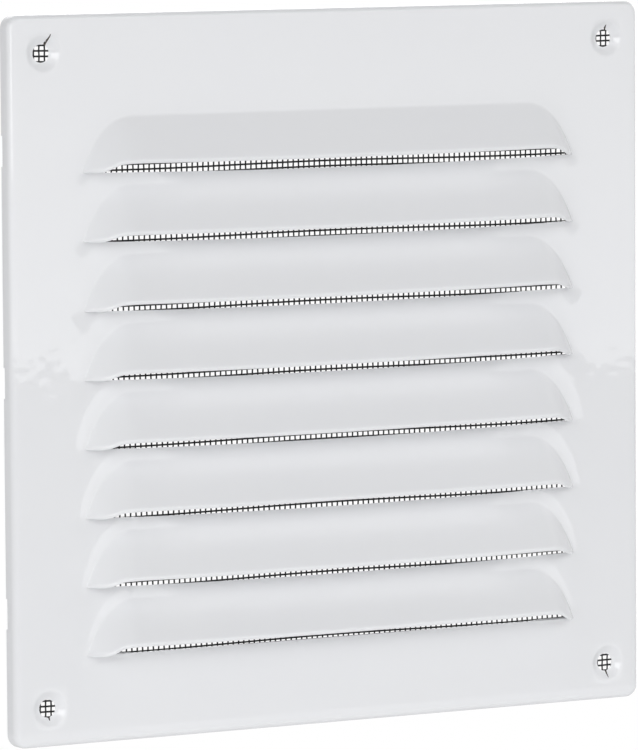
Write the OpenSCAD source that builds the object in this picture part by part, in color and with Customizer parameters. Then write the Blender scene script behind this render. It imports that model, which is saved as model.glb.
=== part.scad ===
// Weather louvre: a square wall vent pressed from one sheet, with an insect mesh behind it.
// X runs to the right, Z up, and -Y is the front. All sizes are millimetres.
// The origin is the centre of the four screw holes, on the floor of their dishes.

/* [Face plate] */
// Width of the plate over its rim
plate_w = 190; // [184:1:240]
// Height of the plate over its rim
plate_h = 190; // [186:1:240]
// Thickness of the sheet
sheet_t = 0.8; // [0.6:0.1:1]
// Depth of the rim, from the front face to its back edge
rim_depth = 4.8; // [4.4:0.1:7]
// Radius of the plate's corners
corner_r = 3.5; // [2.6:0.1:8]
// Outside radius of the bend between the face and the rim
bend_r = 1.2; // [1.1:0.1:2]

/* [Louvres] */
// Number of louvres, one above the other
louvre_count = 8; // [2:1:8]
// Distance from one louvre to the next
louvre_pitch = 18; // [17:0.5:18.5]
// Length of a louvre from tip to tip
louvre_l = 148; // [110:1:156]
// Distance from the plate's top edge to the crease of the first hood
louvre_top = 26.6; // [18:0.2:30]
// Height of a hood from its cut line to its crease
hood_h = 14.4; // [12:0.2:15.4]
// Distance that the lip of a hood stands out of the face
hood_out = 8; // [5:0.5:9.5]
// Length of the domed end of a hood
hood_end_l = 14; // [11:0.5:24]
// Height of the lip above the cut line
lip_rise = 1.6; // [1.2:0.1:3.2]
// Depth of the bow in the sill below a louvre
sill_bow = 1; // [0.4:0.1:1.6]

/* [Screw holes] */
// Diameter of a screw hole
hole_d = 4.7; // [3.5:0.1:5.5]
// Distance from the plate's edges to the centre of a screw hole
screw_inset = 10; // [9:0.5:13]
// Diameter of the pressed dish round a screw hole
dish_d = 9.6; // [9:0.2:12]
// Diameter of the flat floor of the dish
dish_floor_d = 6.4; // [6:0.2:7.6]
// Depth of the dish in the face
dish_depth = 1.6; // [1:0.1:1.7]
// Width of the small tears in the walls of the dishes
tear_w = 0.45; // [0.3:0.05:0.8]

/* [Mesh lugs] */
// Number of lugs along each side of the rim
lug_count = 3; // [1:1:3]
// Distance between two lugs on one side
lug_pitch = 60; // [40:1:70]
// Width of a lug
lug_w = 8; // [5:0.5:12]
// Length that a lug reaches in from the rim
lug_l = 6; // [4:0.5:7]
// Clearance between the tip of a lug and the mesh
lug_gap = 0.05; // [0.02:0.01:0.1]

/* [Insect mesh] */
// Diameter of the mesh wire
wire_d = 0.28; // [0.2:0.02:0.36]
// Thickness of the mesh between the two layers of ridges
mesh_t = 0.3; // [0.24:0.02:0.4]
// Clearance between the edge of the mesh and the rim
mesh_clear = 1; // [0.6:0.1:1.4]
// Number of gaps across the mesh
mesh_columns = 12; // [6:1:12]
// Number of gaps up the mesh
mesh_rows = 10; // [6:1:10]
// Width of the net between two gaps
net_w = 2; // [1.4:0.1:3]

/* [Hidden] */
$fn = 64;

plate_color = "#e8eaec";
mesh_color = "#1b1c1e";
// Extra depth of a cutting shape past the face that it cuts
over = 1;

// Levels through the thickness, measured back from the front face
dish_back = dish_depth + sheet_t;
mesh_back = dish_back + mesh_t + wire_d;
fold_y = rim_depth - sheet_t;

// Slope of a hood, from its crease down to its lip
hood_tilt = atan(hood_out / (hood_h - lip_rise));
hood_flat_l = louvre_l - 2 * hood_end_l;
// The domed ends are arcs that fall by end_drop over the length of the end
end_drop = hood_h * sin(hood_tilt);
end_r = (pow(hood_end_l, 2) + pow(end_drop, 2)) / (2 * end_drop);
hood_reach = 3 * hood_h;

// The bow of a sill is an arc over the length of the slot
sill_half = louvre_l / 2 - sheet_t / 2;
sill_r = (pow(sill_half, 2) + pow(sill_bow, 2)) / (2 * sill_bow);
sill_step = 4;

// Back corner of a dish, where the sheet keeps its thickness round the bend
dish_slope = atan(2 * dish_depth / (dish_d - dish_floor_d));
dish_shift = sheet_t * tan(dish_slope / 2);
dish_edge = dish_d / 2 + dish_shift;

// Half the distance between screw holes, across and up
screw_x = plate_w / 2 - screw_inset;
screw_z = plate_h / 2 - screw_inset;
// Tears: side across, side up, angle from straight up and the distances where each starts and ends
tears = [
    [-1, 1, 24, 2.2, 5.4],
    [1, 1, 18, 2.2, 3.5],
    [1, -1, 160, 2.2, 4],
    [-1, -1, 165, 2.2, 3.1]
];

// A lug leans forward from its fold until its tip meets the mesh
lug_lean = asin((fold_y - mesh_back - lug_gap) / lug_l);

// The mesh keeps inside the rim and its rounded corners, and one gap lies behind each screw hole
mesh_w = plate_w - 2 * (sheet_t + mesh_clear);
mesh_h = plate_h - 2 * (sheet_t + mesh_clear);
mesh_r = corner_r - sheet_t - mesh_clear;
gap_pitch_x = 2 * screw_x / (mesh_columns - 1);
gap_pitch_z = 2 * screw_z / (mesh_rows - 1);
// The outermost gaps keep half a net width to the edge of the mesh
gap_w = min(gap_pitch_x - net_w, mesh_w - 2 * screw_x - net_w);
gap_h = min(gap_pitch_z - net_w, mesh_h - 2 * screw_z - net_w);

// Height of the cut line of louvre i, counted from the top
function cut_z(i) = plate_h / 2 - louvre_top - hood_h - i * louvre_pitch;

// Places of count things with an even pitch about the middle
function even(count, pitch) = [for (i = [0 : count - 1]) (i - (count - 1) / 2) * pitch];

// Turns a shape drawn across and up into a slab from the front face to a depth
module slab(depth) {
    translate([0, depth, 0]) rotate([90, 0, 0]) linear_extrude(depth) children();
}

module rounded_square(w, h, r) {
    square([w - 2 * r, h], center = true);
    square([w, h - 2 * r], center = true);
    for (sx = [-1, 1], sz = [-1, 1])
        translate([sx * (w / 2 - r), sz * (h / 2 - r)]) circle(r);
}

// Section of the rim: the bend and the leg, with x = 0 at the outside and y = 0 at the face
module rim_section() {
    difference() {
        intersection() {
            translate([-bend_r, bend_r]) circle(bend_r);
            translate([-bend_r, 0]) square(bend_r);
        }
        translate([-bend_r, bend_r]) circle(bend_r - sheet_t);
    }
    translate([-sheet_t, bend_r]) square([sheet_t, rim_depth - bend_r]);
}

// Calls its child once on each side of the plate, with +X pointing out of that side
module each_side() {
    for (turn = [0 : 3])
        rotate([0, -90 * turn, 0])
            translate([(turn % 2 == 0 ? plate_w : plate_h) / 2, 0, 0]) children();
}

module rim() {
    for (turn = [0 : 3]) {
        run = (turn % 2 == 0 ? plate_h : plate_w) - 2 * corner_r;
        rotate([0, -90 * turn, 0])
            translate([(turn % 2 == 0 ? plate_w : plate_h) / 2, 0, -run / 2])
                linear_extrude(run) rim_section();
    }
    for (sx = [0, 1], sz = [0, 1])
        mirror([sx, 0, 0]) mirror([0, 0, sz])
            translate([plate_w / 2 - corner_r, 0, -plate_h / 2 + corner_r])
                rotate([-90, 0, 0]) rotate_extrude(angle = 90)
                    translate([corner_r, 0]) rim_section();
}

// Section across a hood, square to its slope: flat in the middle and domed at both ends
module hood_section(inset) {
    translate([-hood_flat_l / 2, -hood_reach])
        square([hood_flat_l, hood_reach - inset]);
    for (side = [-1, 1])
        intersection() {
            translate([side * hood_flat_l / 2, -end_r]) circle(end_r - inset, $fn = 120);
            translate([side * (hood_flat_l + end_r) / 2, -end_r / 2])
                square([end_r, end_r], center = true);
        }
}

// Space under a hood's slope, from its crease at z = 0 downwards
module hood_wedge(inset) {
    rotate([180 - hood_tilt, 0, 0])
        translate([0, 0, -hood_h]) linear_extrude(hood_reach) hood_section(inset);
}

// Prism along X from a side view drawn as y and z
module side_prism(points) {
    translate([-louvre_l / 2, 0, 0]) rotate([90, 0, 90]) linear_extrude(louvre_l) polygon(points);
}

// Outside of a hood with its cut line at z = 0: its lip rises away from the face
module hood_outside() {
    intersection() {
        translate([0, 0, hood_h]) hood_wedge(0);
        side_prism([
            [sheet_t, 0], [sheet_t, hood_h + over], [-2 * hood_out, hood_h + over],
            [-2 * hood_out, 2 * lip_rise], [0, 0]
        ]);
    }
}

// Hollow of a hood and its opening through the sheet
module hood_hollow() {
    intersection() {
        translate([0, 0, hood_h]) hood_wedge(sheet_t);
        side_prism([
            [sheet_t + over, 0], [sheet_t + over, hood_h + over],
            [-2 * hood_out, hood_h + over], [-2 * hood_out, 0]
        ]);
    }
}

// Strip that the bowed sill leaves open under a cut line at z = 0
module sill_cut() {
    translate([0, -over, 0]) slab(sheet_t + 2 * over)
        intersection() {
            translate([0, sill_r - sill_bow]) circle(sill_r, $fn = ceil(2 * PI * sill_r / sill_step));
            translate([-sill_half, -2 * sill_bow]) square([2 * sill_half, 2 * sill_bow + sheet_t / 2]);
        }
}

// Pressed dish of even sheet thickness, with the screw hole in its floor
module screw_dish() {
    rotate([-90, 0, 0]) rotate_extrude()
        polygon([
            [hole_d / 2, dish_depth], [dish_floor_d / 2, dish_depth], [dish_d / 2, 0],
            [dish_edge, 0], [dish_edge, sheet_t],
            [dish_floor_d / 2 + dish_shift, dish_back], [hole_d / 2, dish_back]
        ]);
}

module each_screw() {
    for (sx = [-1, 1], sz = [-1, 1])
        translate([sx * screw_x, 0, sz * screw_z]) children();
}

// Small tears where the sheet split as its dishes were pressed
module tear_cuts() {
    for (tear = tears)
        translate([tear[0] * screw_x, -over, tear[1] * screw_z]) rotate([0, tear[2], 0])
            translate([-tear_w / 2, 0, tear[3]])
                cube([tear_w, dish_back + 2 * over, tear[4] - tear[3]]);
}

// Section of a lug: the fold on the rim's back edge and the tongue that leans to the mesh
module lug_section() {
    translate([-sheet_t, fold_y]) {
        intersection() {
            circle(sheet_t);
            polygon([
                [0, 0], [2 * sheet_t, 0], [2 * sheet_t, 2 * sheet_t],
                [-2 * sheet_t * sin(lug_lean), 2 * sheet_t * cos(lug_lean)]
            ]);
        }
        rotate(lug_lean) translate([-lug_l, 0]) square([lug_l, sheet_t]);
    }
}

// Calls its child at each lug, with x = 0 at the outside of the rim
module each_lug() {
    each_side() for (z = even(lug_count, lug_pitch)) translate([0, 0, z - lug_w / 2]) children();
}

// The whole pressed sheet: face, rim, hoods, dishes and lugs
module face_plate() {
    color(plate_color) translate([0, -dish_depth, 0]) {
        difference() {
            union() {
                difference() {
                    slab(sheet_t) rounded_square(plate_w - 2 * bend_r, plate_h - 2 * bend_r, corner_r - bend_r);
                    translate([0, -over, 0]) each_screw()
                        rotate([-90, 0, 0]) cylinder(r = dish_edge, h = sheet_t + 2 * over);
                }
                rim();
                each_screw() screw_dish();
                for (i = [0 : louvre_count - 1]) translate([0, 0, cut_z(i)]) hood_outside();
            }
            for (i = [0 : louvre_count - 1]) translate([0, 0, cut_z(i)]) hood_hollow();
            // The sill of the last louvre is the flat foot of the plate and stays straight
            for (i = [0 : louvre_count - 2]) translate([0, 0, cut_z(i)]) sill_cut();
            tear_cuts();
            each_lug() translate([-sheet_t, fold_y, 0]) cube([sheet_t + over, sheet_t + over, lug_w]);
        }
        each_lug() linear_extrude(lug_w) lug_section();
    }
}

// Ridges of round wire from edge to edge of the mesh, on both sides of each row of gaps
module wire_ridges(count, pitch, gap, run) {
    for (place = even(count, pitch), side = [-1, 1])
        translate([place + side * (gap / 2 + wire_d), 0, -run / 2]) cylinder(d = wire_d, h = run, $fn = 16);
}

// The mesh is one wall with a grid of gaps, upright wires on its front and level wires on its back
module insect_mesh() {
    color(mesh_color) translate([0, sheet_t + wire_d / 2, 0])
        intersection() {
            union() {
                difference() {
                    slab(mesh_t) square([mesh_w, mesh_h], center = true);
                    translate([0, -over, 0]) slab(mesh_t + 2 * over)
                        for (x = even(mesh_columns, gap_pitch_x), z = even(mesh_rows, gap_pitch_z))
                            translate([x, z]) square([gap_w, gap_h], center = true);
                }
                wire_ridges(mesh_columns, gap_pitch_x, gap_w, mesh_h);
                translate([0, mesh_t, 0]) rotate([0, 90, 0])
                    wire_ridges(mesh_rows, gap_pitch_z, gap_h, mesh_w);
            }
            translate([0, -over, 0]) slab(mesh_t + 2 * over) rounded_square(mesh_w, mesh_h, mesh_r);
        }
}

face_plate();
insect_mesh();
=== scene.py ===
import logging
import math
from collections.abc import Callable, Iterable, Sequence
from dataclasses import dataclass, field
from enum import Enum

import bmesh
import bpy
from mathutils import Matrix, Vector


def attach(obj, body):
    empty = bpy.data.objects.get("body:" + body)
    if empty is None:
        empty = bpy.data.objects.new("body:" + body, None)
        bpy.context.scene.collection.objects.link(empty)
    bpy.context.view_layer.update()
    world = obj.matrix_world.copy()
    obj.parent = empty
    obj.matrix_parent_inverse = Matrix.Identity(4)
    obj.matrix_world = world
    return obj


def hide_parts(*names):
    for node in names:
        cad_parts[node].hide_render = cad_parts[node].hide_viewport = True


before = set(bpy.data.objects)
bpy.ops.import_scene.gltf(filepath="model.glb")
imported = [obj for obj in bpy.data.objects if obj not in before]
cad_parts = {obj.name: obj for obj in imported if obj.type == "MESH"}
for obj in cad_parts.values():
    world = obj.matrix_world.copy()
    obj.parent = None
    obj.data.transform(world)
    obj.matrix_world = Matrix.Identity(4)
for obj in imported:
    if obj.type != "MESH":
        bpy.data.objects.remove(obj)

LOG = logging.getLogger("weather_louvre")
# Millimetres within which a place counts as lying on a level
NEAR = 0.01
# Millimetres within which the middle of an edge counts as lying on an outline
AROUND = 0.05
WHITE = (1.0, 1.0, 1.0, 1.0)
INCH = 25.4

# A test of a place on a mesh, given in millimetres
PlaceTest = Callable[[Vector], bool]
# An amount in millimetres that depends on the place, also in millimetres
PlaceAmount = Callable[[Vector], float]


class Domain(Enum):
    """Kind of mesh element that a selection picks."""

    VERTS = "VERT"
    EDGES = "EDGE"
    FACES = "FACE"


class Axis(Enum):
    """Axis of the row's frame, with its place in a vector."""

    X = 0
    Y = 1
    Z = 2

    def vector(self, length: float = 1.0) -> Vector:
        """Gives a vector of some length along this axis."""
        out = Vector((0.0, 0.0, 0.0))
        out[self.value] = length
        return out


class StripKind(Enum):
    """Place of a louvre in the stack, which decides how its strip is drawn."""

    FIRST = "first"
    MIDDLE = "middle"
    LAST = "last"


class WireRun(Enum):
    """Direction in which a set of mesh wires runs."""

    UPRIGHT = "upright"
    LEVEL = "level"


def metres(millimetres: float) -> float:
    """Turns millimetres into metres."""
    return millimetres / 1000.0


def place_of(point: Vector) -> Vector:
    """Turns a point in metres into a place in millimetres."""
    return point * 1000.0


def linear_colour(code: str) -> tuple[float, float, float, float]:
    """Turns an sRGB hex colour into a linear one.

    Args:
        code: Colour as a hash sign and six hex digits.

    Returns:
        Linear red, green and blue, with alpha 1.
    """
    parts = [int(code[i:i + 2], 16) / 255.0 for i in (1, 3, 5)]
    red, green, blue = (p / 12.92 if p <= 0.04045 else ((p + 0.055) / 1.055) ** 2.4 for p in parts)
    return (red, green, blue, 1.0)


def smooth_step(low: float, high: float, value: float) -> float:
    """Rises smoothly from 0 at low to 1 at high.

    Args:
        low: Value at which the result leaves 0.
        high: Value at which the result reaches 1.
        value: Value to place between the two.

    Returns:
        A share from 0 to 1.
    """
    share = min(1.0, max(0.0, (value - low) / (high - low)))
    return share * share * (3.0 - 2.0 * share)


def add_node(tree: bpy.types.NodeTree, kind: str, values: dict[str | int, object] | None = None,
             links: dict[str | int, bpy.types.NodeSocket] | None = None, **settings: object) -> bpy.types.Node:
    """Adds one node with its settings, socket values and links.

    Args:
        tree: Node tree that takes the node.
        kind: Blender's name of the node type.
        values: Values of input sockets, by socket name or number.
        links: Sockets that feed the inputs, by socket name or number.
        settings: Attributes of the node itself.

    Returns:
        The new node.
    """
    node = tree.nodes.new(kind)
    for name, value in settings.items():
        setattr(node, name, value)
    for name, value in (values or {}).items():
        node.inputs[name].default_value = value
    for name, socket in (links or {}).items():
        tree.links.new(socket, node.inputs[name])
    return node


def new_material(name: str) -> bpy.types.Material:
    """Adds a material with an empty node tree.

    Args:
        name: Name of the material.

    Returns:
        The material.
    """
    material = bpy.data.materials.new(name)
    material.use_nodes = True
    material.node_tree.nodes.clear()
    return material


def noise(tree: bpy.types.NodeTree, size_mm: float, detail: float) -> bpy.types.NodeSocket:
    """Adds a noise on the object's own coordinates.

    Args:
        tree: Node tree that takes the noise.
        size_mm: Size of its patches in millimetres.
        detail: How many finer layers it has.

    Returns:
        The socket with the noise from 0 to 1.
    """
    place = add_node(tree, "ShaderNodeTexCoord").outputs["Object"]
    return add_node(tree, "ShaderNodeTexNoise", {"Scale": 1000.0 / size_mm, "Detail": detail},
                    {"Vector": place}).outputs["Fac"]


def seen_straight(tree: bpy.types.NodeTree) -> bpy.types.NodeSocket:
    """Adds a socket that is 1 for what the eye sees, also through glass, and 0 for light on the object."""
    path = add_node(tree, "ShaderNodeLightPath")
    return add_node(tree, "ShaderNodeMath", operation="MAXIMUM", links={
        0: path.outputs["Is Camera Ray"], 1: path.outputs["Is Transmission Ray"]}).outputs["Value"]


def clear_bench() -> None:
    """Leaves edit mode and deselects everything, so that a new primitive is an object of its own."""
    if bpy.context.mode != "OBJECT":
        bpy.ops.object.mode_set(mode="OBJECT")
    bpy.ops.object.select_all(action="DESELECT")


class Workpiece:
    """A mesh object that is shaped in edit mode, as by hand. Its places are millimetres."""

    def __init__(self, name: str) -> None:
        """Takes the primitive that was just added.

        Args:
            name: Name of the piece.
        """
        self.obj = bpy.context.object
        self.obj.name = name
        self.obj.data.name = name
        self.still()

    def still(self) -> None:
        """Applies the object's place, turn and size to its mesh."""
        self.focus()
        bpy.ops.object.transform_apply(location=True, rotation=True, scale=True)

    def focus(self) -> None:
        """Makes this object the only one selected, in object mode."""
        clear_bench()
        self.obj.select_set(True)
        bpy.context.view_layer.objects.active = self.obj

    def edit(self, domain: Domain = Domain.VERTS) -> bmesh.types.BMesh:
        """Enters edit mode in one select mode.

        Args:
            domain: Kind of element that the next operator acts on.

        Returns:
            The mesh under edit.
        """
        if bpy.context.mode != "EDIT_MESH" or bpy.context.edit_object is not self.obj:
            self.focus()
            bpy.ops.object.mode_set(mode="EDIT")
        bpy.ops.mesh.select_mode(type=domain.value)
        return bmesh.from_edit_mesh(self.obj.data)

    def pick(self, domain: Domain, test: PlaceTest, loose_edge: bool = False) -> int:
        """Selects the elements whose middle passes a test, and nothing else.

        Args:
            domain: Kind of element to select.
            test: Test of the middle of an element, in millimetres.
            loose_edge: Takes only edges that border an opening.

        Returns:
            How many elements are selected.
        """
        mesh = self.edit(domain)
        bpy.ops.mesh.select_all(action="DESELECT")
        parts, middle = {
            Domain.VERTS: (mesh.verts, lambda vert: vert.co),
            Domain.EDGES: (mesh.edges, lambda edge: (edge.verts[0].co + edge.verts[1].co) / 2.0),
            Domain.FACES: (mesh.faces, lambda face: face.calc_center_median())}[domain]
        picked = 0
        for part in parts:
            if (not loose_edge or part.is_boundary) and test(place_of(middle(part))):
                part.select = True
                picked += 1
        mesh.select_flush_mode()
        bmesh.update_edit_mesh(self.obj.data)
        return picked

    def pick_all(self) -> None:
        """Selects the whole mesh."""
        self.edit()
        bpy.ops.mesh.select_all(action="SELECT")

    def cut_lines(self, axis: Axis, places: Iterable[float]) -> None:
        """Draws straight lines over the whole mesh, square to an axis.

        Args:
            axis: Axis that the lines are square to.
            places: Where the lines lie on that axis.
        """
        for at in places:
            self.pick_all()
            bpy.ops.mesh.bisect(plane_co=axis.vector(metres(at)), plane_no=axis.vector())

    def remove_faces(self, test: PlaceTest) -> None:
        """Deletes the faces whose middle passes a test."""
        if self.pick(Domain.FACES, test):
            bpy.ops.mesh.delete(type="FACE")

    def extrude(self, offset: Sequence[float]) -> None:
        """Extrudes the selected edges or faces by an offset in millimetres."""
        bpy.ops.mesh.extrude_region_move(
            TRANSFORM_OT_translate={"value": tuple(metres(part) for part in offset)})

    def extrude_edges(self, offset: Sequence[float]) -> None:
        """Extrudes the selected edges, one strip of faces, by an offset in millimetres."""
        bpy.ops.mesh.extrude_edges_move(
            TRANSFORM_OT_translate={"value": tuple(metres(part) for part in offset)})

    def merge(self, distance: float = 0.002) -> None:
        """Merges vertices that lie together, within a distance in millimetres."""
        self.pick_all()
        bpy.ops.mesh.remove_doubles(threshold=metres(distance))

    def face_out(self) -> None:
        """Turns all faces outwards."""
        self.pick_all()
        bpy.ops.mesh.normals_make_consistent(inside=False)

    def push(self, axis: Axis, amount: PlaceAmount, reach: float) -> None:
        """Moves each vertex along an axis by an amount that depends on its place.

        Args:
            axis: Axis to move along.
            amount: Distance for a vertex at some place; its sign gives the direction.
            reach: Longest distance that the amount can give.
        """
        self.focus()
        for name, sign in (("along", 1.0), ("against", -1.0)):
            group = self.obj.vertex_groups.new(name=name)
            for vert in self.obj.data.vertices:
                share = sign * amount(place_of(vert.co)) / reach
                if share > 0.0:
                    group.add([vert.index], min(1.0, share), "REPLACE")
            press = self.obj.modifiers.new(name, "DISPLACE")
            press.direction = axis.name
            press.mid_level = 0.0
            press.strength = metres(sign * reach)
            press.vertex_group = name
        for name in ("along", "against"):
            bpy.ops.object.modifier_apply(modifier=name)
        self.obj.vertex_groups.clear()

    def apply(self, kind: str, **settings: object) -> None:
        """Adds a modifier with its settings and applies it.

        Args:
            kind: Blender's name of the modifier type.
            settings: Attributes of the modifier.
        """
        self.focus()
        modifier = self.obj.modifiers.new(kind.title(), kind)
        for name, value in settings.items():
            setattr(modifier, name, value)
        bpy.ops.object.modifier_apply(modifier=modifier.name)

    def copy(self, offset: Sequence[float]) -> "Workpiece":
        """Makes a copy with its own mesh, moved by an offset in millimetres."""
        self.focus()
        bpy.ops.object.duplicate(linked=False)
        twin = Workpiece(self.obj.name)
        twin.obj.location = [metres(part) for part in offset]
        twin.still()
        return twin

    def join(self, others: Iterable["Workpiece"]) -> None:
        """Joins other pieces into this one."""
        self.focus()
        for other in others:
            other.obj.select_set(True)
        bpy.ops.object.join()

    def shade(self, angle: float) -> None:
        """Shades the piece smooth up to an angle in degrees."""
        self.focus()
        bpy.ops.object.shade_smooth_by_angle(angle=math.radians(angle))


def upright_plane(name: str, width: float, height: float, middle: Sequence[float]) -> Workpiece:
    """Adds a plane that faces the front.

    Args:
        name: Name of the piece.
        width: Size along X, in millimetres.
        height: Size along Z, in millimetres.
        middle: Centre of the plane, in millimetres.

    Returns:
        The piece.
    """
    clear_bench()
    bpy.ops.mesh.primitive_plane_add(size=1.0, rotation=(math.pi / 2, 0.0, 0.0),
                                     location=[metres(part) for part in middle])
    bpy.context.object.scale = (metres(width), metres(height), 1.0)
    return Workpiece(name)


@dataclass(frozen=True)
class PowderCoat:
    """Gloss polyester powder coat, sprayed on aluminium sheet and baked.

    The eye gets an even cool white with a clear, slightly wavy gloss: the orange peel of
    baked powder bends the edges of what it reflects.
    """

    name: str = "gloss_white_powder_coat"
    white: str = "#EBECEE"
    cloud: str = "#E9EAED"
    cloud_mm: float = 45.0
    gloss_roughness: float = 0.01
    ior: float = 1.5
    peel_mm: float = 2.4
    peel_depth_mm: float = 0.006
    wave_mm: float = 11.0
    wave_depth_mm: float = 0.012

    def build(self) -> bpy.types.Material:
        """Builds the material.

        Returns:
            The powder coat.
        """
        material = new_material(self.name)
        tree = material.node_tree
        tone = add_node(tree, "ShaderNodeMix", {"A": linear_colour(self.white), "B": linear_colour(self.cloud)},
                        {"Factor": noise(tree, self.cloud_mm, 2.0)}, data_type="RGBA")
        sag = add_node(tree, "ShaderNodeBump", {"Strength": 1.0, "Distance": metres(self.wave_depth_mm)},
                       {"Height": noise(tree, self.wave_mm, 0.0)})
        skin = add_node(tree, "ShaderNodeBump", {"Strength": 1.0, "Distance": metres(self.peel_depth_mm)},
                        {"Height": noise(tree, self.peel_mm, 0.0), "Normal": sag.outputs["Normal"]})
        paint = add_node(tree, "ShaderNodeBsdfPrincipled",
                         {"Roughness": self.gloss_roughness, "IOR": self.ior, "Metallic": 0.0},
                         {"Base Color": tone.outputs["Result"], "Normal": skin.outputs["Normal"]})
        add_node(tree, "ShaderNodeOutputMaterial", links={"Surface": paint.outputs["BSDF"]})
        return material


@dataclass(frozen=True)
class TornEdgeWithPaintedShade:
    """Aluminium laid bare where the sheet split under the press, dulled and rubbed; its dark brown-grey is
    partly painted shade for the inside of the narrow tears.
    """

    name: str = "torn_aluminium_edge"
    # Both tones are bare metal darkened as painted shade for the inside of the tears
    shaded_metal: str = "#8A827B"
    shade: str = "#6A625C"
    grain_mm: float = 0.3
    roughness: float = 0.55
    metallic: float = 0.4

    def build(self) -> bpy.types.Material:
        """Builds the material.

        Returns:
            The torn edge.
        """
        material = new_material(self.name)
        tree = material.node_tree
        tone = add_node(tree, "ShaderNodeMix", {"A": linear_colour(self.shaded_metal), "B": linear_colour(self.shade)},
                        {"Factor": noise(tree, self.grain_mm, 2.0)}, data_type="RGBA")
        shaded_metal = add_node(tree, "ShaderNodeBsdfPrincipled",
                         {"Roughness": self.roughness, "Metallic": self.metallic},
                         {"Base Color": tone.outputs["Result"]})
        add_node(tree, "ShaderNodeOutputMaterial", links={"Surface": shaded_metal.outputs["BSDF"]})
        return material


@dataclass(frozen=True)
class CoatedWire:
    """Aluminium wire dipped in black enamel: near black, with a satin line of light along each wire."""

    name: str = "black_enamelled_wire"
    black: str = "#0C0C0D"
    worn: str = "#161718"
    patch_mm: float = 3.0
    roughness: tuple[float, float] = (0.5, 0.62)
    ior: float = 1.5

    def build(self) -> bpy.types.Material:
        """Builds the material.

        Returns:
            The enamelled wire.
        """
        material = new_material(self.name)
        tree = material.node_tree
        patch = noise(tree, self.patch_mm, 1.0)
        tone = add_node(tree, "ShaderNodeMix", {"A": linear_colour(self.black), "B": linear_colour(self.worn)},
                        {"Factor": patch}, data_type="RGBA")
        low, high = self.roughness
        gloss = add_node(tree, "ShaderNodeMapRange", {"To Min": low, "To Max": high}, {"Value": patch})
        enamel = add_node(tree, "ShaderNodeBsdfPrincipled", {"IOR": self.ior, "Metallic": 0.0},
                          {"Base Color": tone.outputs["Result"], "Roughness": gloss.outputs["Result"]})
        add_node(tree, "ShaderNodeOutputMaterial", links={"Surface": enamel.outputs["BSDF"]})
        return material


@dataclass(frozen=True)
class HoodLine:
    """Side line of a blended hood: a leaning land, a soft bend and a steeper slope to the lip.

    The angles are degrees from upright, and the bend lies between two distances down the line.
    """

    lean: float = 23.0
    slope: float = 31.0
    bend_from: float = 6.5
    bend_to: float = 10.0
    drop: float = 15.3
    out: float = 8.0
    step: float = 0.1

    def table(self) -> list[tuple[float, float]]:
        """Walks down the line in small steps.

        Returns:
            Pairs of distance below the sill and distance out of the face, the last at the lip.
        """
        points = [(0.0, 0.0)]
        walked = 0.0
        while points[-1][0] < self.drop:
            share = min(1.0, max(0.0, (walked - self.bend_from) / (self.bend_to - self.bend_from)))
            angle = math.radians(self.lean + (self.slope - self.lean) * share)
            down, out = points[-1]
            points.append((down + self.step * math.cos(angle), out + self.step * math.sin(angle)))
            walked += self.step
        last = points[-1]
        return [(down * self.drop / last[0], out * self.out / last[1]) for down, out in points]


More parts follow.
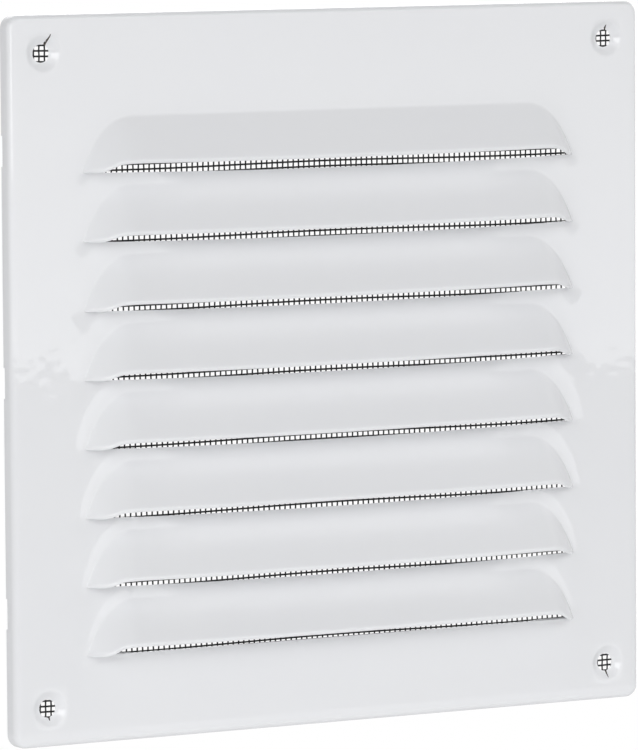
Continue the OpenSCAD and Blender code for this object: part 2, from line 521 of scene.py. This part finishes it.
@dataclass
class FacePlate:
    """The pressed sheet: flat face, bent rim, hooded louvres, screw dishes and mesh lugs."""

    width: float = 190.0
    height: float = 190.0
    face_y: float = -1.6
    sheet_t: float = 0.8
    rim_depth: float = 4.8
    corner_r: float = 3.5
    corner_steps: int = 8
    bend_r: float = 1.7
    bend_steps: int = 5
    # The stack of louvres: its cut lines, and the arc that ends each hood in a dome
    count: int = 8
    pitch: float = 18.0
    first_cut: float = 54.0
    half_l: float = 74.0
    end_l: float = 14.0
    end_r: float = 16.4
    hood_h: float = 14.4
    hood_out: float = 8.0
    slope_guess: float = 34.0
    slope_tries: int = 20
    # Height of a lip above its cut line in the middle, how much its ends rise, and where they close
    rise: dict[StripKind, float] = field(default_factory=lambda: {
        StripKind.FIRST: 1.95, StripKind.MIDDLE: 1.4, StripKind.LAST: 2.1})
    lip_bow: float = 0.55
    close_from: float = 5.5
    close_to: float = 11.6
    bow: float = 1.0
    crease_soft: float = 0.5
    curl_r: float = 0.9
    curl_under: float = 45.0
    curl_fade: float = 3.0
    swell: float = 0.2
    swell_reach: float = 5.4
    swell_full: float = 4.0
    # Where along the louvre the soft blend of a hood gives way to its crisp dome
    blend_from: float = 44.0
    blend_to: float = 62.0
    screw_at: float = 85.0
    patch: float = 6.0
    patch_steps: int = 8
    # Side line of a dish, as distances from the hole's axis and from the face
    dish: tuple[tuple[float, float], ...] = (
        (5.3, 0.0), (5.05, 0.03), (4.8, 0.11), (4.55, 0.24), (4.3, 0.41), (4.0, 0.63),
        (3.7, 0.855), (3.4, 1.07), (3.1, 1.265), (2.8, 1.42), (2.55, 1.53), (2.35, 1.6))
    lug_at: tuple[float, ...] = (-60.0, 0.0, 60.0)
    lug_w: float = 8.0
    lug_l: float = 6.0
    lug_lean: float = 9.3
    lug_fold: tuple[int, ...] = (0, 30, 60, 90)
    # Side across, side up, angle from straight up, end from the hole's centre, width at the hole
    tears: tuple[tuple[float, float, float, float, float], ...] = (
        (-1, 1, 23, 5.5, 0.9), (1, 1, 8, 3.7, 0.9), (1, -1, 172, 4.2, 0.6), (-1, -1, 171, 3.2, 0.8))
    tear_from: float = 2.2
    tear_depth: float = 8.0
    tear_point: float = 0.2
    smooth_angle: float = 28.0
    # Lines of a strip: from its middle outwards, from the start of a dome, and down its side line
    middle_columns: tuple[float, ...] = (0.0, 12.0, 24.0, 34.0, 40.0, 44.0, 47.0, 50.0, 52.5, 55.0, 57.0, 58.6)
    end_columns: tuple[float, ...] = (
        0.0, 1.0, 2.0, 3.0, 4.0, 5.0, 6.0, 7.0, 8.0, 9.0, 10.0, 10.9, 11.7, 12.4, 13.0, 13.5, 14.0)
    land_rows: tuple[float, ...] = (0.0, 0.05, 0.11, 0.18, 0.27, 0.38, 0.5, 0.62, 0.73, 0.83, 0.92, 1.0)
    crease_rows: tuple[float, ...] = (0.5, 0.25, 0.0, -0.25, -0.5)
    slope_rows: tuple[float, ...] = (0.06, 0.14, 0.23, 0.33, 0.44, 0.56, 0.68, 0.8, 0.92, 1.0)
    curl_rows: int = 7
    # Lines of the flat face beside the strips, as shares of the reach of the swelling
    ring_steps: tuple[float, ...] = (0.08, 0.2, 0.35, 0.55, 0.78)

    def columns(self) -> list[float]:
        """Gives the upright lines of a strip from its left tip to its right tip."""
        right = [x for x in self.middle_columns if x > 0.0]
        right += [self.half_l - self.end_l + u for u in self.end_columns]
        return [-x for x in reversed(right)] + [0.0] + right

    def end_share(self, x: float) -> float:
        """Gives how far a domed end has fallen at some place: 0 in the middle, 1 at the tip."""
        along = max(0.0, abs(x) - (self.half_l - self.end_l))
        arc = self.end_r - math.sqrt(self.end_r ** 2 - min(along, self.end_l) ** 2)
        return arc / (self.end_r - math.sqrt(self.end_r ** 2 - self.end_l ** 2))

    def sill_z(self, kind: StripKind, x: float) -> float:
        """Gives the height of a strip's top edge above its cut line."""
        bow = 0.0 if kind is StripKind.FIRST else self.bow
        return self.pitch - bow * max(0.0, 1.0 - (x / self.half_l) ** 2)

    def crease_z(self, x: float) -> float:
        """Gives the height of the crease above the cut line."""
        return self.hood_h * (1.0 - self.end_share(x))

    def slope_angle(self, kind: StripKind) -> float:
        """Gives the slope of a creased hood in radians, so that its curled lip ends at its height."""
        slope = math.radians(self.slope_guess)
        for _ in range(self.slope_tries):
            out, up = self.curl_start(kind, slope)
            slope = math.atan2(out, self.hood_h - up)
        return slope

    def curl_start(self, kind: StripKind, slope: float) -> tuple[float, float]:
        """Gives where the curl of a lip leaves the slope.

        Args:
            kind: Place of the louvre in the stack.
            slope: Angle of the slope from upright, in radians.

        Returns:
            The distance out of the face and the height above the cut line.
        """
        under = math.radians(self.curl_under)
        return (self.hood_out - self.curl_r * (1.0 - math.cos(slope)),
                self.rise[kind] + self.curl_r * (math.sin(slope) + math.sin(under)))

    def curl_point(self, kind: StripKind, x: float, step: int) -> tuple[float, float]:
        """Gives a point on the curl of a lip, which shrinks to nothing at the tips.

        Args:
            kind: Place of the louvre in the stack.
            x: Place along the louvre.
            step: Step round the curl, 0 where it leaves the slope.

        Returns:
            The distance out of the face and the height above the cut line.
        """
        slope = self.slope_angle(kind)
        under = math.radians(self.curl_under)
        angle = slope - (slope + under) * step / self.curl_rows
        left = 1.0 - self.end_share(x)
        radius = self.curl_r * min(1.0, self.curl_fade * left)
        along = abs(x) - (self.half_l - self.end_l)
        closed = smooth_step(self.close_from, self.close_to, along)
        rise = (self.rise[kind] + self.lip_bow * (x / self.half_l) ** 2) * (1.0 - closed)
        return (self.hood_out * left - radius * (1.0 - math.cos(angle)),
                rise * left + radius * (math.sin(angle) + math.sin(under)))

    def row_z(self, kind: StripKind, row: int, x: float) -> float:
        """Gives the height of one level line of a strip above its cut line.

        Args:
            kind: Place of the louvre in the stack.
            row: Number of the line, counted from the top.
            x: Place along the louvre.

        Returns:
            The height in millimetres.
        """
        sill, crease, lip = self.sill_z(kind, x), self.crease_z(x), self.curl_point(kind, x, 0)[1]
        lands, creases = len(self.land_rows) - 1, len(self.crease_rows)
        curl = row - self.row_total() + self.curl_rows + 1
        soft = self.crease_soft
        if row < lands:
            return sill + (crease + soft - sill) * self.land_rows[row]
        if row < lands + creases:
            step = self.crease_rows[row - lands]
            room = min(1.0, (crease - lip) / (2.0 * soft)) if step < 0.0 else 1.0
            return crease + step * room
        if curl > 0:
            return self.curl_point(kind, x, curl)[1]
        top = crease - min(soft, (crease - lip) / 2.0)
        return top + (lip - top) * self.slope_rows[row - lands - creases]

    def row_total(self) -> int:
        """Gives the number of level lines of a strip."""
        return len(self.land_rows) - 1 + len(self.crease_rows) + len(self.slope_rows) + self.curl_rows

    def crisp_out(self, kind: StripKind, x: float, z: float) -> float:
        """Gives how far a creased hood stands out of the face at a place above its cut line."""
        grade = math.tan(self.slope_angle(kind))
        out = grade * (self.crease_z(x) - z)
        soft = grade * self.crease_soft
        if out >= soft:
            return out
        return 0.0 if out <= -soft else (out + soft) ** 2 / (4.0 * soft)

    def swell_out(self, x: float, z: float, cuts: Iterable[float]) -> float:
        """Gives how far the drawn sheet swells round the outline of the domed ends.

        Args:
            x: Place along the louvres.
            z: Height.
            cuts: Heights of the cut lines of the louvres near by.

        Returns:
            The distance out of the face.
        """
        along = abs(x) - (self.half_l - self.end_l)
        if not 0.0 < along < self.end_l + self.swell_reach:
            return 0.0
        out = 0.0
        for cut in cuts:
            up = z - cut
            if along <= self.end_l and 0.0 <= up <= self.crease_z(x):
                apart = 0.0
            else:
                apart = min(math.hypot(along - u, up - self.crease_z(self.half_l - self.end_l + u))
                            for u in self.end_columns)
            out += self.swell * max(0.0, 1.0 - apart / self.swell_reach) ** 3
        return out * smooth_step(0.0, self.swell_full, along)

    def strip(self, kind: StripKind) -> Workpiece:
        """Models one strip of the face between two cut lines, with its hood.

        Args:
            kind: Place of the louvre in the stack.

        Returns:
            The strip with its cut line at z = 0.
        """
        rows = self.row_total()
        cuts = [0.0]
        if kind is not StripKind.FIRST:
            cuts.append(self.pitch)
        if kind is not StripKind.LAST:
            cuts.append(-self.pitch)
        piece = upright_plane("strip", 2 * self.half_l, rows - 1, (0.0, self.face_y, (rows - 1) / 2.0))
        piece.cut_lines(Axis.X, self.columns()[1:-1])
        piece.cut_lines(Axis.Z, range(1, rows - 1))
        out, up = self.curl_point(kind, 0.0, 0)
        line = HoodLine(drop=self.pitch - self.bow - up, out=out)
        points = line.table()

        def row_of(place: Vector) -> int:
            """Gives the number of the level line at a place on the flat strip."""
            return rows - 1 - round(place.z)

        def out_at(x: float, row: int) -> float:
            """Gives how far a level line of the formed strip stands out of the face."""
            lip_out, lip = self.curl_point(kind, x, 0)
            curl = row - rows + self.curl_rows + 1
            if curl > 0:
                return out_at(x, row - curl) + self.curl_point(kind, x, curl)[0] - lip_out
            z = self.row_z(kind, row, x)
            crisp = self.crisp_out(kind, x, z) + self.swell_out(x, z, cuts)
            if kind is StripKind.FIRST:
                return crisp
            sill = self.sill_z(kind, x)
            below = (sill - z) * line.drop / (sill - lip)
            soft = points[-1][1]
            for (down, out), (next_down, next_out) in zip(points, points[1:]):
                if next_down >= below:
                    soft = out + (next_out - out) * (below - down) / (next_down - down)
                    break
            share = 1.0 - smooth_step(self.blend_from, self.blend_to, abs(x))
            return share * soft + (1.0 - share) * crisp

        outs = {}
        piece.focus()
        for vert in piece.obj.data.vertices:
            place = place_of(vert.co)
            outs[(round(place.x, 2), round(place.z))] = out_at(place.x, row_of(place))
        piece.push(Axis.Y, lambda place: -outs[(round(place.x, 2), round(place.z))], self.hood_out)
        piece.push(Axis.Z, lambda place: self.row_z(kind, row_of(place), place.x) - place.z, float(rows))
        return piece

    def frame_sheet(self) -> Workpiece:
        """Models the flat face round the louvres, with its bend and rim.

        Returns:
            The face with one wide opening for the strips.
        """
        half_w, half_h = self.width / 2.0, self.height / 2.0
        piece = upright_plane("face_sheet", self.width, self.height, (0.0, self.face_y, 0.0))
        piece.pick(Domain.VERTS, lambda place: True)
        bpy.ops.mesh.bevel(affect="VERTICES", offset=metres(self.corner_r), offset_type="OFFSET",
                           segments=self.corner_steps, profile=0.5)
        piece.pick(Domain.EDGES, lambda place: True, loose_edge=True)
        piece.extrude_edges((0.0, self.rim_depth, 0.0))
        corners = {self.screw_at - self.patch + 2.0 * self.patch * step / self.patch_steps
                   for step in range(self.patch_steps + 1)}
        lug_ends = {at + side * self.lug_w / 2.0 for at in self.lug_at for side in (-1.0, 1.0)}
        rings = {self.half_l + self.swell_reach * step for step in self.ring_steps}
        half_stack = self.first_cut + self.pitch
        both = {side * at for side in (-1.0, 1.0) for at in corners | rings} | lug_ends
        across = set(self.columns()) | both
        upwards = {side * (at - self.half_l + half_stack) for side in (-1.0, 1.0) for at in rings}
        upwards |= both | {-half_stack}
        for i in range(self.count):
            kind = self.kind_of(i)
            upwards |= {self.first_cut - i * self.pitch + self.row_z(kind, row, self.half_l)
                        for row in range(self.row_total())}
        piece.cut_lines(Axis.X, self.apart(across))
        piece.cut_lines(Axis.Z, self.apart(upwards))
        piece.cut_lines(Axis.Y, [self.face_y + self.rim_depth - self.sheet_t])
        edge_x, edge_z = half_w - NEAR, half_h - NEAR
        front = self.face_y + NEAR
        piece.pick(Domain.EDGES, lambda place: place.y < front and self.on_outline(place, edge_x, edge_z))
        bpy.ops.mesh.bevel(affect="EDGES", offset=metres(self.bend_r), offset_type="OFFSET",
                           segments=self.bend_steps, profile=0.5)
        piece.remove_faces(lambda place: place.y < front and abs(place.x) < self.half_l
                           and abs(place.z) < half_stack)
        cuts = [self.first_cut - i * self.pitch for i in range(self.count)]
        piece.push(Axis.Y, lambda place: -self.swell_out(place.x, place.z, cuts) if place.y < front else 0.0,
                   self.swell * 2.0)
        return piece

    def kind_of(self, number: int) -> StripKind:
        """Gives the kind of strip for the louvre with this number, counted from the top."""
        if number == 0:
            return StripKind.FIRST
        return StripKind.LAST if number == self.count - 1 else StripKind.MIDDLE

    def apart(self, places: Iterable[float]) -> list[float]:
        """Sorts places and keeps one of each."""
        kept: list[float] = []
        for at in sorted(places):
            if not kept or at - kept[-1] > 2.0 * NEAR:
                kept.append(at)
        return kept

    def on_outline(self, place: Vector, edge_x: float, edge_z: float) -> bool:
        """Tells whether a place lies on the plate's outline, its rounded corners included."""
        if abs(place.x) > edge_x or abs(place.z) > edge_z:
            return True
        in_x = abs(place.x) - (self.width / 2.0 - self.corner_r)
        in_z = abs(place.z) - (self.height / 2.0 - self.corner_r)
        return in_x > 0.0 and in_z > 0.0 and math.hypot(in_x, in_z) > self.corner_r - AROUND

    def build(self) -> Workpiece:
        """Models the whole sheet.

        Returns:
            The finished piece, without materials.
        """
        piece = self.frame_sheet()
        strips = []
        for kind in StripKind:
            first = self.strip(kind)
            for i in range(self.count):
                if self.kind_of(i) is kind:
                    strips.append(first.copy((0.0, 0.0, self.first_cut - i * self.pitch)))
            bpy.data.objects.remove(first.obj)
        piece.join(strips)
        piece.merge()
        self.press_dishes(piece)
        self.fold_lugs(piece)
        piece.obj.name = piece.obj.data.name = "pressed_face"
        piece.apply("SOLIDIFY", thickness=metres(self.sheet_t), offset=-1.0, use_even_offset=True,
                    use_quality_normals=True, use_rim=True)
        piece.shade(self.smooth_angle)
        return piece

    def press_dishes(self, piece: Workpiece) -> None:
        """Presses a dish with its screw hole into each corner of the face."""
        low, high = self.screw_at - self.patch, self.screw_at + self.patch
        front = self.face_y + NEAR
        for side_x in (-1.0, 1.0):
            for side_z in (-1.0, 1.0):
                piece.remove_faces(lambda place: place.y < front and low < side_x * place.x < high
                                   and low < side_z * place.z < high)
                centre = Vector((side_x * self.screw_at, self.face_y, side_z * self.screw_at))
                self.spin_dish(piece, centre)
                ring = self.dish[0][0]
                piece.pick(Domain.EDGES, lambda place: place.y < front and (
                    self.on_square(place, centre) or -4.0 * AROUND < (place - centre).length - ring < AROUND),
                    loose_edge=True)
                bpy.ops.mesh.bridge_edge_loops()

    def on_square(self, place: Vector, centre: Vector) -> bool:
        """Tells whether a place lies on the square opening round a screw hole."""
        gap = max(abs(place.x - centre.x), abs(place.z - centre.z))
        return abs(gap - self.patch) < AROUND

    def spin_dish(self, piece: Workpiece, centre: Vector) -> None:
        """Spins the side line of a dish round the axis of its screw hole.

        Args:
            piece: Sheet that takes the dish.
            centre: Centre of the dish on the front face.
        """
        piece.edit(Domain.EDGES)
        bpy.ops.mesh.select_all(action="DESELECT")
        bpy.ops.mesh.primitive_circle_add(vertices=4 * self.patch_steps, radius=metres(self.dish[0][0]),
                                          rotation=(math.pi / 2, 0.0, 0.0), location=centre / 1000.0)
        for (radius, depth), (next_radius, next_depth) in zip(self.dish, self.dish[1:]):
            piece.extrude_edges((0.0, next_depth - depth, 0.0))
            factor = next_radius / radius
            bpy.ops.transform.resize(value=(factor, 1.0, factor), center_override=centre / 1000.0)

    def fold_lugs(self, piece: Workpiece) -> None:
        """Folds the mesh lugs in from the back edge of the rim, on all four sides."""
        back = self.face_y + self.rim_depth
        fold = back - self.sheet_t
        half = self.lug_w / 2.0
        lean = math.radians(self.lug_lean)
        turn = self.sheet_t
        path = [(turn * (1 - math.cos(math.radians(angle))), turn * math.sin(math.radians(angle)))
                for angle in self.lug_fold]
        path.append((path[-1][0] + self.lug_l * math.cos(lean), path[-1][1] - self.lug_l * math.sin(lean)))
        for axis, half_size in ((Axis.X, self.width / 2.0), (Axis.Z, self.height / 2.0)):
            other = Axis.Z if axis is Axis.X else Axis.X
            for side in (-1.0, 1.0):
                def at_lug(place: Vector) -> bool:
                    """Tells whether a place on this side lies at a lug."""
                    return (side * place[axis.value] > half_size - AROUND
                            and any(abs(place[other.value] - at) < half for at in self.lug_at))

                piece.remove_faces(lambda place: place.y > fold and at_lug(place))
                piece.pick(Domain.EDGES, lambda place: abs(place.y - fold) < NEAR and at_lug(place),
                           loose_edge=True)
                for (inwards, back_by), (next_in, next_back) in zip(path, path[1:]):
                    offset = axis.vector(-side * (next_in - inwards))
                    offset.y = next_back - back_by
                    piece.extrude_edges(offset)

    def tear_cutter(self) -> Workpiece:
        """Models the small wedges that cut the tears in the dish walls.

        Returns:
            One piece with all the wedges.
        """
        wedges = []
        for side_x, side_z, angle, end, width in self.tears:
            middle = (self.tear_from + end) / 2.0
            turn = math.radians(angle)
            clear_bench()
            bpy.ops.mesh.primitive_cube_add(
                size=1.0, rotation=(0.0, turn, 0.0),
                location=(metres(side_x * self.screw_at + middle * math.sin(turn)), 0.0,
                          metres(side_z * self.screw_at + middle * math.cos(turn))))
            bpy.context.object.scale = (metres(width), metres(self.tear_depth), metres(end - self.tear_from))
            wedge = Workpiece("wedge")
            far = Vector((side_x * self.screw_at + end * math.sin(turn), 0.0,
                          side_z * self.screw_at + end * math.cos(turn)))
            wedge.pick(Domain.VERTS, lambda place: math.hypot(place.x - far.x, place.z - far.z) < width)
            bpy.ops.transform.resize(value=(self.tear_point, 1.0, self.tear_point),
                                     center_override=far / 1000.0)
            wedges.append(wedge)
        wedges[0].join(wedges[1:])
        wedges[0].face_out()
        wedges[0].focus()
        return wedges[0]

    def tear(self, piece: Workpiece) -> None:
        """Cuts the tears through the sheet; their walls keep the cutter's material."""
        cutter = self.tear_cutter()
        # The tear walls take bare metal darkened as painted shade
        cutter.obj.data.materials.append(TornEdgeWithPaintedShade().build())
        piece.apply("BOOLEAN", operation="DIFFERENCE", solver="EXACT", object=cutter.obj,
                    material_mode="TRANSFER")
        bpy.data.objects.remove(cutter.obj)

    def dress(self) -> None:
        """Builds the piece, gives it its finish and sets it in place of the plain solid."""
        piece = self.build()
        piece.obj.data.materials.append(PowderCoat().build())
        self.tear(piece)
        piece.shade(self.smooth_angle)
        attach(piece.obj, "root")
        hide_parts("face_plate")
        LOG.info("%s: %d faces", piece.obj.name, len(piece.obj.data.polygons))


@dataclass
class InsectScreen:
    """The woven screen: upright and level wires that pass over and under each other."""

    half: float = 92.0
    # Sixteen wires to the inch across, and hardly less than eighteen up
    pitch_x: float = INCH / 16.0
    pitch_z: float = INCH / 17.9
    wire_d: float = 0.48
    weave: float = 0.07
    middle_y: float = 1.09
    # The level wires wave slowly up and down, and the whole screen hangs a little low
    sway: float = 0.25
    sway_length: float = 110.0
    hang: float = -0.21
    smooth_angle: float = 60.0

    def places(self, pitch: float) -> list[float]:
        """Gives the places of wires at a pitch, even about the middle and even in number."""
        count = 2 * int(self.half / pitch)
        return [(i - (count - 1) / 2.0) * pitch for i in range(count)]

    def wires(self, run: WireRun) -> Workpiece:
        """Weaves one set of wires.

        Args:
            run: Direction in which the wires run.

        Returns:
            The set as one piece.
        """
        upright = run is WireRun.UPRIGHT
        along, across = (Axis.Z, Axis.X) if upright else (Axis.X, Axis.Z)
        crossings = self.places(self.pitch_z if upright else self.pitch_x)
        places = self.places(self.pitch_x if upright else self.pitch_z)
        radius = self.wire_d / 2.0
        side = -1.0 if upright else 1.0
        pair = []
        for number in (0, 1):
            start = along.vector(crossings[0] - self.wire_d) + across.vector(places[number])
            start.y = self.middle_y + side * self.weave * (-1.0) ** number
            turn = (0.0, 0.0, 0.0) if upright else (0.0, math.pi / 2, 0.0)
            clear_bench()
            bpy.ops.mesh.primitive_circle_add(vertices=4, radius=metres(radius), fill_type="NGON",
                                              rotation=turn, location=start / 1000.0)
            wire = Workpiece("mesh_wires_" + run.value)
            wire.edit(Domain.FACES)
            bpy.ops.mesh.select_all(action="SELECT")
            offset = along.vector(self.wire_d)
            wire.extrude(offset)
            for i in range(1, len(crossings)):
                offset = along.vector(crossings[i] - crossings[i - 1])
                offset.y = -2.0 * side * self.weave * (-1.0) ** (number + i - 1)
                wire.extrude(offset)
            wire.extrude(along.vector(self.wire_d))
            pair.append(wire)
        pair[0].join(pair[1:])
        step = across.vector(metres(2.0 * (places[1] - places[0])))
        pair[0].apply("ARRAY", count=len(places) // 2, use_relative_offset=False,
                      use_constant_offset=True, constant_offset_displace=step)
        pair[0].face_out()
        pair[0].push(Axis.Z, lambda place: self.hang + self.sway * math.cos(
            2.0 * math.pi * place.x / self.sway_length), self.sway + abs(self.hang))
        pair[0].focus()
        return pair[0]

    def dress(self) -> None:
        """Weaves both sets of wires and sets them in place of the plain solid."""
        enamel = CoatedWire().build()
        for run in WireRun:
            piece = self.wires(run)
            piece.shade(self.smooth_angle)
            piece.obj.data.materials.append(enamel)
            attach(piece.obj, "root")
            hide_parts("insect_mesh")
            LOG.info("%s: %d faces", piece.obj.name, len(piece.obj.data.polygons))


@dataclass
class Studio:
    """Pale floor, plain soft light and the camera."""

    floor_z: float = -300.0
    floor_reach: float = 1300.0
    floor_paint: str = "#E8E8E8"
    floor_white: float = 0.8
    aim: tuple[float, float, float] = (0.0, -1.6, 0.0)
    azimuth: float = -29.28
    elevation: float = 5.06
    roll: float = -0.359
    distance: float = 1686.0
    sensor: float = 36.0
    lens: float = 305.6
    shift: tuple[float, float] = (-0.0195, -0.0106)
    # Height of a direction, from -1 straight down to 1 straight up, and its share of the brightest light
    wall: tuple[tuple[float, float], ...] = (
        (-0.088, 0.95), (-0.034, 0.6), (0.2, 0.6), (0.45, 1.0), (0.65, 0.3), (0.8, 0.09), (1.0, 0.0))
    wall_level: float = 1.7
    # The floor's far edge as a height, and the light below it, off the floor, behind and behind to the right
    horizon: tuple[float, float] = (-0.0885, -0.088)
    below: float = 0.0
    bounce: float = 0.17
    back: float = 0.4
    back_right: float = 1.5
    # Between which places on X or Y of a direction the room's sides fade into each other
    back_fade: tuple[float, float] = (-0.3, 0.3)
    rear_fade: tuple[float, float] = (0.3, 0.7)
    right_fade: tuple[float, float] = (-0.35, 0.2)
    lamp_at: tuple[float, float, float] = (-1.64, -1.98, 0.44)
    lamp_size: float = 1.1
    lamp_watts: float = 13.0

    def floor(self) -> None:
        """Lays the floor. It looks white to the eye and keeps the object's shadow."""
        clear_bench()
        bpy.ops.mesh.primitive_circle_add(vertices=96, radius=metres(self.floor_reach), fill_type="NGON",
                                          location=(0.0, 0.0, metres(self.floor_z)))
        piece = Workpiece("studio_floor")
        material = new_material("pale_floor")
        tree = material.node_tree
        paint = add_node(tree, "ShaderNodeBsdfDiffuse", {"Color": linear_colour(self.floor_paint)})
        strength = add_node(tree, "ShaderNodeMapRange", {"To Min": self.bounce, "To Max": self.floor_white},
                            {"Value": seen_straight(tree)})
        glow = add_node(tree, "ShaderNodeEmission", {"Color": WHITE}, {"Strength": strength.outputs["Result"]})
        both = add_node(tree, "ShaderNodeAddShader",
                        links={0: paint.outputs["BSDF"], 1: glow.outputs["Emission"]})
        add_node(tree, "ShaderNodeOutputMaterial", links={"Surface": both.outputs["Shader"]})
        piece.obj.data.materials.append(material)

    def fade(self, tree: bpy.types.NodeTree, value: bpy.types.NodeSocket, ends: tuple[float, float],
             low: float | bpy.types.NodeSocket, high: float | bpy.types.NodeSocket) -> bpy.types.NodeSocket:
        """Adds a fade from one level of light to another.

        Args:
            tree: Node tree that takes the fade.
            value: Socket that the fade follows.
            ends: Values at which it starts and ends.
            low: Level before the start, as a number or a socket.
            high: Level past the end, as a number or a socket.

        Returns:
            The socket with the faded level.
        """
        levels = {"To Min": low, "To Max": high}
        values = {name: level for name, level in levels.items() if isinstance(level, float)}
        links = {name: level for name, level in levels.items() if name not in values}
        return add_node(tree, "ShaderNodeMapRange", {"From Min": ends[0], "From Max": ends[1], **values},
                        {"Value": value, **links}).outputs["Result"]

    def surroundings(self) -> None:
        """Sets plain soft light from all round, and a white background."""
        world = bpy.data.worlds.new("plain_studio")
        bpy.context.scene.world = world
        world.use_nodes = True
        tree = world.node_tree
        tree.nodes.clear()
        way = add_node(tree, "ShaderNodeSeparateXYZ",
                       links={"Vector": add_node(tree, "ShaderNodeTexCoord").outputs["Generated"]}).outputs
        wall = add_node(tree, "ShaderNodeValToRGB",
                        links={"Fac": self.fade(tree, way["Z"], (-1.0, 1.0), 0.0, 1.0)})
        stops = wall.color_ramp.elements
        for z, share in self.wall[1:-1]:
            stops.new((z + 1.0) / 2.0).color = (share, share, share, 1.0)
        for stop, (z, share) in ((stops[0], self.wall[0]), (stops[-1], self.wall[-1])):
            stop.position = (z + 1.0) / 2.0
            stop.color = (share, share, share, 1.0)
        above = add_node(tree, "ShaderNodeMath", {1: self.wall_level}, {0: wall.outputs["Color"]},
                         operation="MULTIPLY")
        front = self.fade(tree, way["Z"], self.horizon, self.below, above.outputs["Value"])
        back = self.fade(tree, way["Y"], self.back_fade, front, self.back)
        right = self.fade(tree, way["X"], self.right_fade, 0.0, self.back_right)
        rear = self.fade(tree, way["Y"], self.rear_fade, 0.0, right)
        room = add_node(tree, "ShaderNodeMath", operation="ADD", links={0: back, 1: rear})
        level = self.fade(tree, seen_straight(tree), (0.0, 1.0), room.outputs["Value"], 1.0)
        sky = add_node(tree, "ShaderNodeBackground", {"Color": WHITE}, {"Strength": level})
        add_node(tree, "ShaderNodeOutputWorld", links={"Surface": sky.outputs["Background"]})

    def lamp(self) -> None:
        """Hangs one wide soft lamp in front, to the left and a little above."""
        bpy.ops.object.light_add(type="AREA", location=self.lamp_at)
        lamp = bpy.context.object
        lamp.name = "soft_lamp"
        lamp.data.shape = "SQUARE"
        lamp.data.size = self.lamp_size
        lamp.data.energy = self.lamp_watts
        lamp.rotation_euler = (-lamp.location).to_track_quat("-Z", "Y").to_euler()

    def camera(self) -> None:
        """Sets the camera where the photograph was taken from."""
        az, el, roll = (math.radians(a) for a in (self.azimuth, self.elevation, self.roll))
        back = Vector((math.sin(az) * math.cos(el), -math.cos(az) * math.cos(el), math.sin(el)))
        right = Vector((math.cos(az), math.sin(az), 0.0))
        up = back.cross(right)
        right_rolled = right * math.cos(roll) + up * math.sin(roll)
        up_rolled = up * math.cos(roll) - right * math.sin(roll)
        bpy.ops.object.camera_add(location=(Vector(self.aim) + back * self.distance) / 1000.0)
        camera = bpy.context.object
        camera.name = "camera"
        turn = camera.matrix_world.to_3x3()
        for row in range(3):
            turn[row] = (right_rolled[row], up_rolled[row], back[row])
        camera.rotation_euler = turn.to_euler()
        camera.data.lens = self.lens
        camera.data.sensor_width = self.sensor
        camera.data.sensor_fit = "AUTO"
        camera.data.shift_x, camera.data.shift_y = self.shift
        camera.data.clip_start = 0.05
        camera.data.clip_end = 20.0
        bpy.context.scene.camera = camera

    def build(self) -> None:
        """Sets the whole stage."""
        self.floor()
        self.surroundings()
        self.lamp()
        self.camera()
        bpy.context.scene.view_settings.view_transform = "Standard"


def main() -> None:
    """Builds the pieces in order and reports them."""
    logging.basicConfig(level=logging.INFO, format="%(name)s: %(message)s")
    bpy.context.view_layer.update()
    FacePlate().dress()
    InsectScreen().dress()
    Studio().build()


if __name__ == "__main__":
    main()
